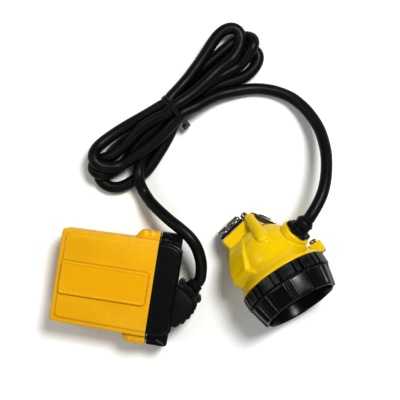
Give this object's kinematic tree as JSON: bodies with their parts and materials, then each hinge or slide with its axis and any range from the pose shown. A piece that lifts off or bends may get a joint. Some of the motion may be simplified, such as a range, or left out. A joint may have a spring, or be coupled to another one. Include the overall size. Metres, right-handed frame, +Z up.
{
  "type": "miner's cap lamp",
  "caption": "Mining cap lamp with a belt-worn battery, a hanked rubber cable and a threaded, lockable lamp head.",
  "frame": {"origin": "on the resting plane, under the battery, in the outer face of its belt loop", "axes": "+X along the battery towards its cap, +Y from the battery towards the hanked cable, +Z up"},
  "size_m": [0.2186, 0.2659, 0.0731],
  "materials": {
    "yellow_case": "semi-gloss moulded polycarbonate, amber yellow",
    "plate": "semi-gloss moulded plastic, amber yellow, blank",
    "yellow_head": "glossy moulded polycarbonate, lemon yellow",
    "black_cap": "satin black moulded plastic",
    "black_bezel": "satin black moulded plastic with polished ribs",
    "black_inner": "matte black moulded plastic",
    "rubber": "matte black moulded rubber",
    "cable": "matte black rubber sheath",
    "tie": "satin black nylon",
    "steel": "stainless steel, stamped and brushed",
    "aluminium": "die-cast aluminium",
    "mirror": "metallised reflector",
    "lens_clear": "clear toughened lens",
    "led": "silicone-domed LED",
    "board": "green circuit board",
    "cell_wrap": "shrink-wrapped cell"
  },
  "bodies": {
    "housing": {"aux_led_1": "led", "aux_led_2": "led", "battery_cap": "black_cap", "battery_case": "yellow_case", "belt_loop": "steel", "belt_loop_screw_1": "steel", "belt_loop_screw_2": "steel", "belt_loop_screw_3": "steel", "belt_loop_screw_4": "steel", "bezel_gasket": "rubber", "bracket_screw_1": "steel", "bracket_screw_2": "steel", "cable_battery_end": "cable", "cable_hank": "cable", "cable_head_end": "cable", "cable_tie": "tie", "cable_tie_head": "tie", "cap_gasket": "rubber", "cap_screw_1": "steel", "cap_screw_2": "steel", "cell_1": "cell_wrap", "cell_2": "cell_wrap", "cell_3": "cell_wrap", "cell_tray": "black_inner", "clamp_screw_1": "steel", "clamp_screw_2": "steel", "contact_clip_1": "steel", "contact_clip_2": "steel", "contact_insulator": "black_inner", "driver_board": "board", "gland_clamp_lower": "black_cap", "gland_clamp_upper": "black_cap", "gland_elbow": "rubber", "gland_ferrule": "rubber", "head_gland_ferrule": "rubber", "head_gland_flange": "rubber", "head_shell": "yellow_head", "heat_sink": "aluminium", "hook_bracket": "steel", "led_board": "board", "main_led": "led", "name_plate": "plate", "protection_board": "board", "reflector": "mirror", "switch_body": "black_inner", "switch_spring": "steel"},
    "lens_stack": {"lens": "lens_clear", "lens_gasket": "rubber"},
    "bezel": {"bezel": "black_bezel", "locking_ring": "black_bezel"},
    "lock_screw": {"lock_screw": "steel"},
    "switch_button": {"switch_button": "rubber"}
  },
  "joints": [
    {"name": "bezel_advance", "type": "slide", "parent": "housing", "child": "lens_stack", "axis": [0.6169, -0.7089, 0.3419], "range_m": [0, 0.0061]},
    {"name": "bezel_turn", "type": "hinge", "parent": "lens_stack", "child": "bezel", "pos_m": [0.1299, 0.0246, 0.0347], "axis": [0.6169, -0.7089, 0.3419], "range_deg": [0, 360]},
    {"name": "lock_screw_travel", "type": "slide", "parent": "housing", "child": "lock_screw", "axis": [0.6169, -0.7089, 0.3419], "range_m": [0, 0.0028]},
    {"name": "switch_press", "type": "slide", "parent": "housing", "child": "switch_button", "axis": [0.5889, 0.704, 0.3969], "range_m": [0, 0.0012], "stiffness_N_per_m": 1500, "deforming": ["switch_spring"]}
  ],
  "couplings": [
    {"joint": "bezel_advance", "follows": "bezel_turn", "m_per_rad": 0.00095493}
  ]
}
